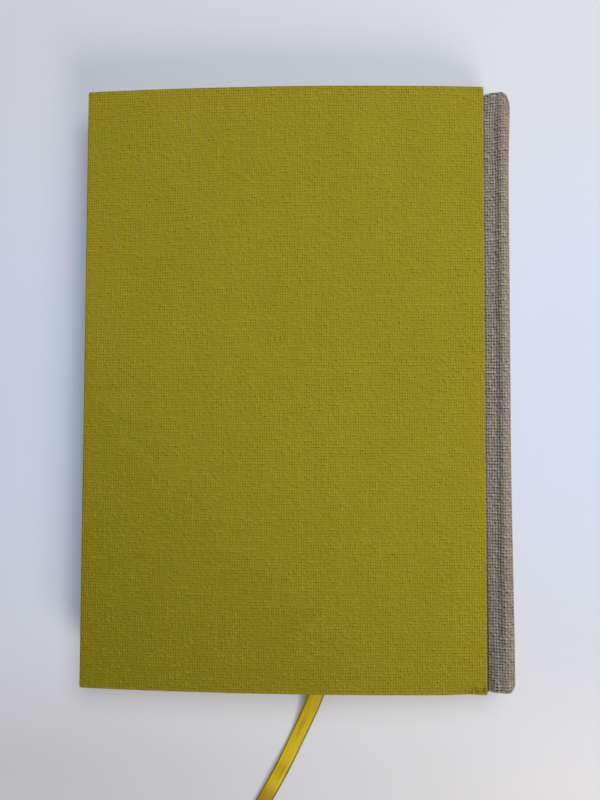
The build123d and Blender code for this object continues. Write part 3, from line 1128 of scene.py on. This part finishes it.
def refine_corner(bm, half_width):
    """Smaller cells on the outer face round the tail corner beside the spine."""
    corner = Vector((half_width, -cover_end, 0))
    reach = 3 * pucker_reach
    near = []
    for face in bm.faces:
        middle = face.calc_center_median()
        inside = middle.x < half_width - 2 * rim_radius and middle.y > 2 * rim_radius - cover_end
        if face.normal.z > 0.9 and inside and (middle - corner).length < reach:
            near.append(face)
    edges = {edge for face in near for edge in face.edges}
    bmesh.ops.subdivide_edges(bm, edges=list(edges), cuts=pucker_cuts, use_grid_fill=True)


def pucker(in_x, in_y):
    """How deep the cloth is drawn in round its worked corner, in folds that fan out from it."""
    reach = hypot(in_x, in_y)
    if reach > 3 * pucker_reach or reach < 1e-9:
        return 0.0
    ray = atan2(in_y, in_x) + pucker_twist * reach
    fade = exp(-((reach / pucker_reach) ** 2)) * (1 - exp(-reach / pucker_start))
    rays = sin(ray * pucker_count + 0.6) * 0.65 + sin(ray * pucker_count * 0.53 + 2.0) * 0.35
    return min(pucker_depth * fade * rays, pucker_limit)


def drawn_edge(in_x, in_y):
    """How far the tail edge is drawn in beside its worked corner, which stands out a little."""
    hollow = exp(-(((in_x - hollow_place) / hollow_reach) ** 2))
    tip = exp(-(((in_x - tip_place) / tip_reach) ** 2))
    return edge_draw * (hollow - tip_share * tip) * exp(-((in_y / edge_draw_reach) ** 2))


def green_cover(arched):
    """The cloth of one cover, uneven as it lies, and bowed with the back cover."""
    length = back_arch.length if arched else cover_edge - fore_edge
    half_width = length / 2
    bm = wrapped_board(length, arched)
    for vertex in bm.verts:
        x, y, z = vertex.co
        outer = max(0.0, 1 + z / (covered_thick / 2))
        swell = noise.noise((x * swells_to_metre, y * swells_to_metre, 0.2))
        ripple = noise.noise((x * ripples_to_metre, y * ripples_to_metre, 0.9))
        uneven = (1 + swell) * cloth_swells + (1 + ripple) * cloth_ripples
        from_side, from_end = half_width - abs(x), cover_end - abs(y)
        z -= uneven * outer * min(max(min(from_side, from_end) / rim_calm_reach, 0.0), 1.0)
        along, from_tail = half_width - x, y + cover_end
        if arched:
            z -= pucker(along, from_tail) * outer
            y += drawn_edge(along, from_tail) * outer
        inside = z < -covered_thick + 1e-5 and from_side > rim_radius * 2
        if inside and abs(from_side - from_end) < 1e-5:
            z += mitre_depth
        if arched:
            point = back_arch.point(along, -z)
            vertex.co = (point.x, y, point.y)
        else:
            vertex.co = (cover_edge - along, y, book_thick + z)
    face_up(bm, Vector((0, 0, 2 * book_thick)))
    if not arched:
        to_front(bm)
    return bm


def book_cloth():
    finish = Finish("green_book_cloth", specular_ior_level=0.12)
    height, light, gap_with_painted_shade = plain_weave(finish, green_pitches, (0.92, 1.03), 0.6, 1.0, 1.0, 0.0)
    place = finish.place()
    x, y, _ = finish.parts(place)
    u, v = finish.cut()
    fibres = finish.cloud(place, 3400, 1.0)
    shade = finish.cloud((u, v * 0.3), 60, 2.0)
    # Painted shade: the cloth is darker towards the lower left of the cover, where the light falls off.
    painted_shade_lower_left = (x * -0.6 - y * 0.9).rise(0.0, 0.15)
    cloth = finish.mix(shade, (146, 133, 24), (156, 142, 30))
    # Painted shade towards the lower left.
    cloth = finish.mix(painted_shade_lower_left * 0.85, cloth, (120, 106, 0))
    from_side = abs(u - back_arch.length / 2)
    from_end = abs(abs(v) - cover_end)
    strained = (1 - from_side.rise(0.003, 0.014)) * (1 - from_end.rise(0.001, 0.0042))
    # Tucks: fine creases near the spine-side edge and the tail, given as relief and as painted shade in
    # their folds.
    tucks_and_their_painted_shade = finish.cloud((u * 1300 + v * 450, v * 280, 3.0), 1.0, 2.0)
    tucks_and_their_painted_shade = tucks_and_their_painted_shade.rise(0.48, 0.62) * strained * (1 - v.rise(-0.01, 0.01) * 0.7)
    colour = finish.layered(
        finish.mix(0.24, cloth, (96, 86, 2)),
        (light.rise(0.25, 0.6), cloth),
        (light.rise(0.6, 0.8) * 0.2, (184, 170, 58)),
        (fibres.rise(0.35, 0.7) * 0.4, (174, 160, 48)),
        # Painted shade in the gaps between threads.
        (gap_with_painted_shade * 1.4, (88, 77, 0)),
        # Painted shade in the folds of the tucks.
        (tucks_and_their_painted_shade * 0.45, (86, 76, 0)),
    )
    return finish.surface(colour, 0.88 - fibres * 0.08, height + fibres * 0.2 - tucks_and_their_painted_shade * 2, 0.00014)


green = book_cloth()
for side, arched in sides:
    cover = as_piece(f"{side}_cover_green", green_cover(arched), green)
    give_thickness(cover, cover_cloth_thick, -1.0)
    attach(cover, f"{side}_cover")
    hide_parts(f"{side}_cover_cloth")

# Table and light: a white table under a broad cool sky, with a soft lamp above on the
# right, and a warmer window low on the right that throws the book's shadow to the left
# and past the head.

table_size = 6.0
sky_light = 0.235
backdrop_paint = (218, 221, 229)
lamps = {
    "lamp": ((0.15, 0.22, 0.55), 0.44, 2.5, (0.965, 0.99, 1.0)),
    "window": ((0.46, -0.82, 0.56), 0.45, 6.9, (1.0, 0.88, 0.74)),
}


def white_table():
    finish = Finish("white_table")
    place = finish.place()
    grain = finish.cloud(place, 900, 3.0)
    patches = finish.cloud(place, 3.0, 2.0)
    across, along, _ = finish.parts(place)
    # Painted cool light: the table is tinted bluish round the book.
    painted_cool_light_round_book = (1 - abs(along).rise(0.02, 0.15)) * (1 - abs(across).rise(0.12, 0.19))
    plain = finish.mix(patches, (216, 216, 220), (220, 220, 222))
    # Painted shade towards the lower left of the table, and painted light towards the lower right.
    low = 1 - along.rise(-0.15, -0.09)
    plain = finish.mix(low * (1 - across.rise(-0.08, 0.1)) * 0.65, plain, (196, 196, 200))
    plain = finish.mix(low * across.rise(0.04, 0.12) * 0.5, plain, (232, 231, 233))
    colour = finish.mix(painted_cool_light_round_book, plain, (210, 219, 237))
    material = finish.surface(colour, 0.9 - grain * 0.05, grain, 0.00002)
    far = ((across * across + along * along) ** 0.5).rise(0.17, 0.32)
    seen = finish.node("ShaderNodeLightPath", {}, {}, "Is Camera Ray")
    glow = finish.node("ShaderNodeEmission", {}, {"Color": paint(*backdrop_paint)})
    shaded = Value(finish, finish.shader.outputs[0])
    both = finish.node("ShaderNodeMixShader", {}, {0: far * seen, 1: shaded, 2: glow})
    finish.put(finish.tree.nodes["Material Output"].inputs["Surface"], both)
    return material


bm = bmesh.new()
bmesh.ops.create_grid(bm, x_segments=1, y_segments=1, size=table_size)
table = as_piece("table", bm, white_table())

world = bpy.data.worlds.new("sky")
world.use_nodes = True
nodes, links = world.node_tree.nodes, world.node_tree.links
sky = nodes["Background"]
sky.inputs["Color"].default_value = paint(214, 228, 255)
sky.inputs["Strength"].default_value = sky_light
backdrop = nodes.new("ShaderNodeBackground")
backdrop.inputs["Color"].default_value = paint(*backdrop_paint)
chooser = nodes.new("ShaderNodeMixShader")
path = nodes.new("ShaderNodeLightPath")
links.new(path.outputs["Is Camera Ray"], chooser.inputs[0])
links.new(sky.outputs[0], chooser.inputs[1])
links.new(backdrop.outputs[0], chooser.inputs[2])
links.new(chooser.outputs[0], nodes["World Output"].inputs["Surface"])
bpy.context.scene.world = world

for name, (lamp_place, size, power, tint) in lamps.items():
    lamp = bpy.data.lights.new(name, "AREA")
    lamp.shape = "DISK"
    lamp.size = size
    lamp.energy = power
    lamp.color = tint
    holder = bpy.data.objects.new(name, lamp)
    bpy.context.scene.collection.objects.link(holder)
    holder.location = lamp_place
    holder.rotation_euler = (-Vector(lamp_place)).to_track_quat("-Z", "Y").to_euler()

bpy.context.scene.view_settings.view_transform = "Standard"
